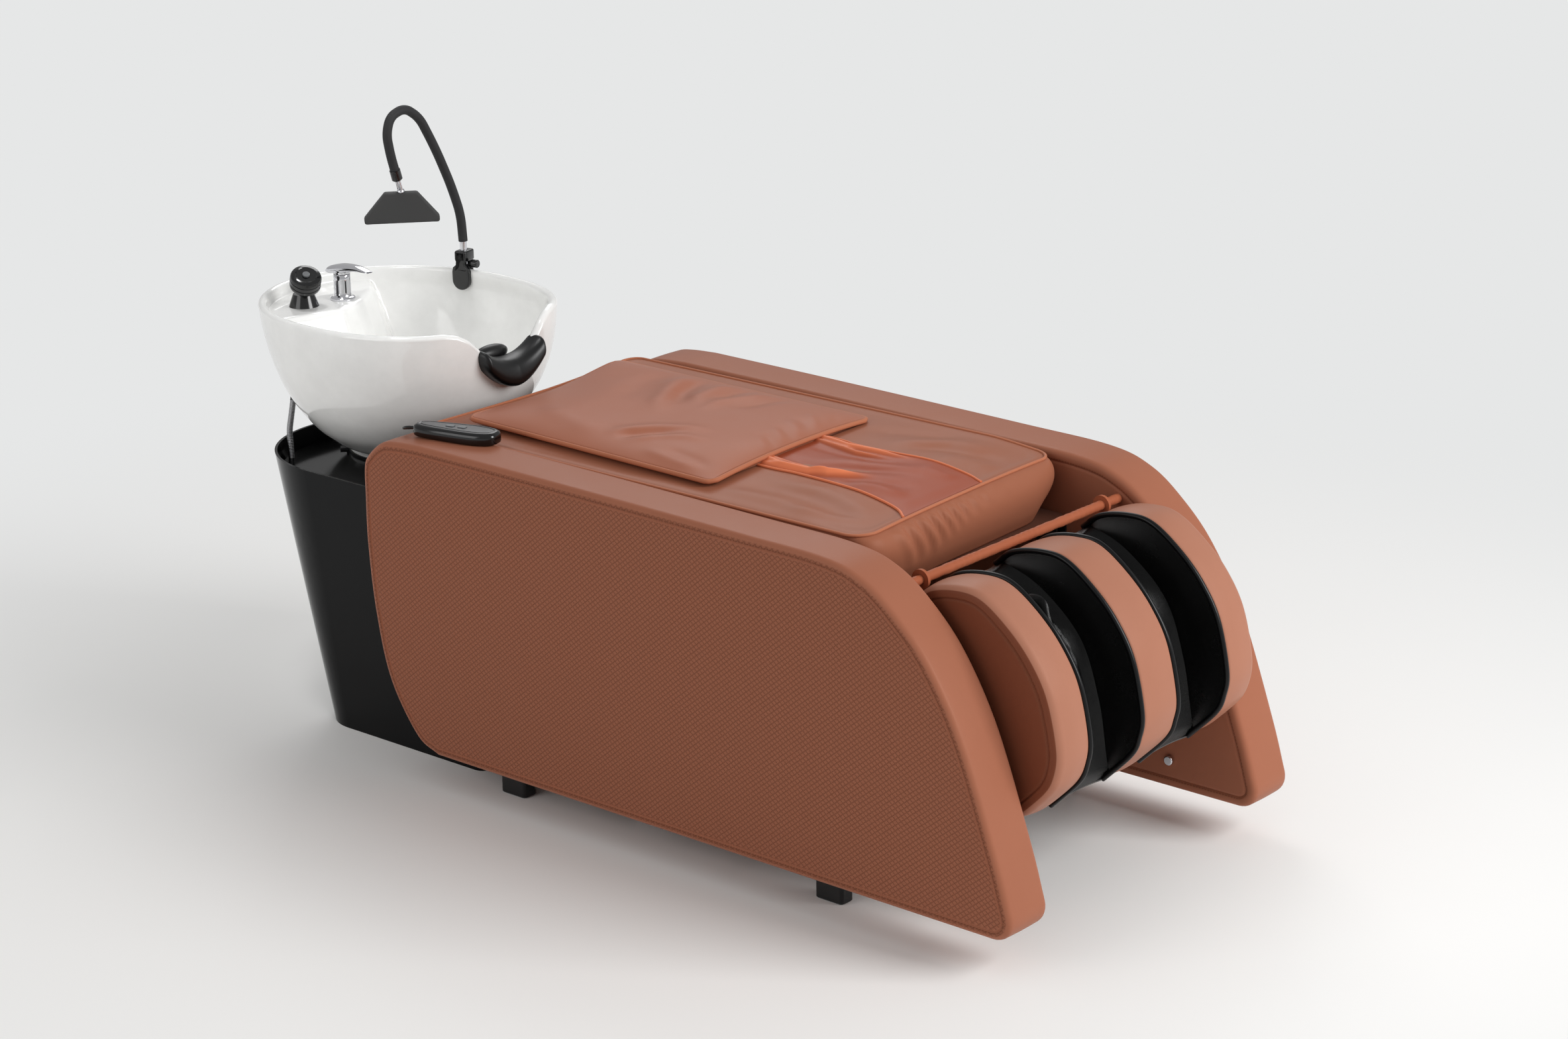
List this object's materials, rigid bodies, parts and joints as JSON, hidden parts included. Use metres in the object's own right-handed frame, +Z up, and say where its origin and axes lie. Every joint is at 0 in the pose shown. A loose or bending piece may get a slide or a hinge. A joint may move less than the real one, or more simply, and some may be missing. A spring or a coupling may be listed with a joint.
{
  "type": "hair washing bed",
  "caption": "Upholstered massage bed for hair washing: glazed basin on a tapered pedestal, neck rest, mixer, hand shower, spray arm, lifting leg rest and massage carriage.",
  "frame": {"origin": "centre of the floor footprint, on the floor", "axes": "+X towards the client's feet, +Y towards the client's left side, +Z up"},
  "size_m": [2.04, 0.8, 1.1053],
  "materials": {
    "brown_leather": "satin, pebbled",
    "embossed_leather": "satin, diamond embossed",
    "terracotta_leather": "satin, soft folds",
    "well_fabric": "black satin cloth",
    "foot_rubber": "matte black",
    "frame_steel": "black powder coat",
    "board_wood": "raw plywood",
    "core_foam": "covered foam block",
    "pedestal_gloss": "high gloss black",
    "basin_glaze": "white glaze",
    "chrome": "polished",
    "black_rubber": "satin black",
    "arm_foam": "textured black sleeve",
    "black_plastic": "fine matte black",
    "handset_plastic": "semi gloss black",
    "grey_plastic": "matte grey",
    "white_plastic": "matte white",
    "steel": "brushed"
  },
  "bodies": {
    "bed": {"right_panel": "brown_leather", "left_panel": "brown_leather", "right_outer_cover": "embossed_leather", "left_outer_cover": "embossed_leather", "feet": "foot_rubber", "side_rails": "frame_steel", "frame_members": "frame_steel", "seat_board": "board_wood", "seat_cushion": "brown_leather", "centre_panel": "terracotta_leather", "back_pad": "brown_leather", "front_bar": "brown_leather", "panel_bolts": "chrome", "actuator_bracket": "frame_steel", "massage_rails": "steel", "drive_motor": "black_plastic", "control_box": "black_plastic", "pedestal_shell": "pedestal_gloss", "pedestal_deck": "pedestal_gloss", "basin_stand": "frame_steel", "basin": "basin_glaze", "drain_flange": "chrome", "basin_gasket": "black_rubber", "basin_brackets": "frame_steel", "neck_rest": "black_rubber", "mixer_body": "chrome", "shower_holder": "handset_plastic", "shower_hose": "steel", "arm_clamp": "black_plastic", "handset_body": "handset_plastic", "handset_cable": "black_rubber", "cable_grommet": "black_rubber", "waste_trap": "white_plastic", "water_inlets": "steel"},
    "leg_unit": {"leg_core": "core_foam", "leg_frame": "frame_steel", "right_rib": "brown_leather", "centre_rib": "brown_leather", "left_rib": "brown_leather", "right_well_liner": "well_fabric", "left_well_liner": "well_fabric"},
    "actuator_body": {"actuator_body": "black_plastic"},
    "actuator_rod": {"actuator_rod": "steel"},
    "massage_carriage": {"massage_carriage": "black_plastic"},
    "massage_rollers": {"massage_rollers": "white_plastic"},
    "lead_screw": {"lead_screw": "steel"},
    "mixer_cap": {"mixer_cap": "chrome"},
    "mixer_lever": {"mixer_lever": "chrome"},
    "hand_shower": {"hand_shower": "handset_plastic"},
    "shower_button": {"shower_button": "grey_plastic"},
    "spray_arm": {"arm_stem": "chrome", "arm_sleeve": "arm_foam", "arm_tip": "black_plastic", "head_neck": "chrome"},
    "spray_head": {"spray_head": "black_plastic", "nozzle_plate": "grey_plastic"},
    "clamp_knob": {"clamp_knob": "black_plastic"},
    "clamp_screw": {"clamp_screw": "black_plastic"},
    "handset_power_key": {"handset_power_key": "grey_plastic"},
    "handset_lift_key": {"handset_lift_key": "grey_plastic"}
  },
  "joints": [
    {"name": "leg_lift", "type": "hinge", "parent": "bed", "child": "leg_unit", "pos_m": [0.72, 0, 0.572], "axis": [0, -1, 0], "range_deg": [0, 45]},
    {"name": "actuator_tilt", "type": "hinge", "parent": "bed", "child": "actuator_body", "pos_m": [0.478, 0, 0.46], "axis": [0, -1, 0], "range_deg": [0, 22]},
    {"name": "rod_extension", "type": "slide", "parent": "actuator_body", "child": "actuator_rod", "axis": [0.8344, 0, -0.5511], "range_m": [0, 0.1585]},
    {"name": "carriage_travel", "type": "slide", "parent": "bed", "child": "massage_carriage", "axis": [1, 0, 0], "range_m": [-0.05, 0.57]},
    {"name": "screw_turn", "type": "hinge", "parent": "bed", "child": "lead_screw", "pos_m": [0, 0, 0.545], "axis": [1, 0, 0], "range_deg": [-910, 10270]},
    {"name": "roller_spin", "type": "hinge", "parent": "massage_carriage", "child": "massage_rollers", "pos_m": [-0.2, 0, 0.597], "axis": [0, 1, 0], "continuous": true},
    {"name": "mixer_swivel", "type": "hinge", "parent": "bed", "child": "mixer_cap", "pos_m": [-0.885, -0.01, 0.785], "axis": [0, 0, 1], "range_deg": [-45, 45]},
    {"name": "lever_lift", "type": "hinge", "parent": "mixer_cap", "child": "mixer_lever", "pos_m": [-0.905, -0.01, 0.7976], "axis": [0, -1, 0], "range_deg": [0, 20]},
    {"name": "shower_pull", "type": "slide", "parent": "bed", "child": "hand_shower", "axis": [0.4501, -0.2501, 0.8572], "range_m": [0, 0.12]},
    {"name": "button_press", "type": "slide", "parent": "hand_shower", "child": "shower_button", "axis": [-0.4501, 0.2501, -0.8572], "range_m": [0, 0.0015], "stiffness_N_per_m": 400, "springref_m": -0.002},
    {"name": "arm_swivel", "type": "hinge", "parent": "bed", "child": "spray_arm", "pos_m": [-0.80354, 0.23781, 0.78], "axis": [0, 0, 1], "range_deg": [-90, 90]},
    {"name": "head_tilt", "type": "hinge", "parent": "spray_arm", "child": "spray_head", "pos_m": [-0.80354, 0.0784, 0.94028], "axis": [0.6561, 0.7547, 0], "range_deg": [-25, 25]},
    {"name": "knob_turn", "type": "hinge", "parent": "bed", "child": "clamp_knob", "pos_m": [-0.80354, 0.23781, 0.77067], "axis": [0.9722, 0.234, 0], "continuous": true},
    {"name": "screw_grip_turn", "type": "hinge", "parent": "bed", "child": "clamp_screw", "pos_m": [-0.80633, 0.24938, 0.737], "axis": [-0.234, 0.9722, 0], "continuous": true},
    {"name": "power_key_press", "type": "slide", "parent": "bed", "child": "handset_power_key", "axis": [0, 0, -1], "range_m": [0, 0.0012], "stiffness_N_per_m": 300, "springref_m": -0.002},
    {"name": "lift_key_press", "type": "slide", "parent": "bed", "child": "handset_lift_key", "axis": [0, 0, -1], "range_m": [0, 0.0012], "stiffness_N_per_m": 300, "springref_m": -0.002}
  ],
  "couplings": [
    {"joint": "actuator_tilt", "follows": "leg_lift", "ratio": 0.4793},
    {"joint": "rod_extension", "follows": "leg_lift", "m_per_rad": 0.20128},
    {"joint": "screw_turn", "follows": "carriage_travel", "rad_per_m": 314.16}
  ]
}
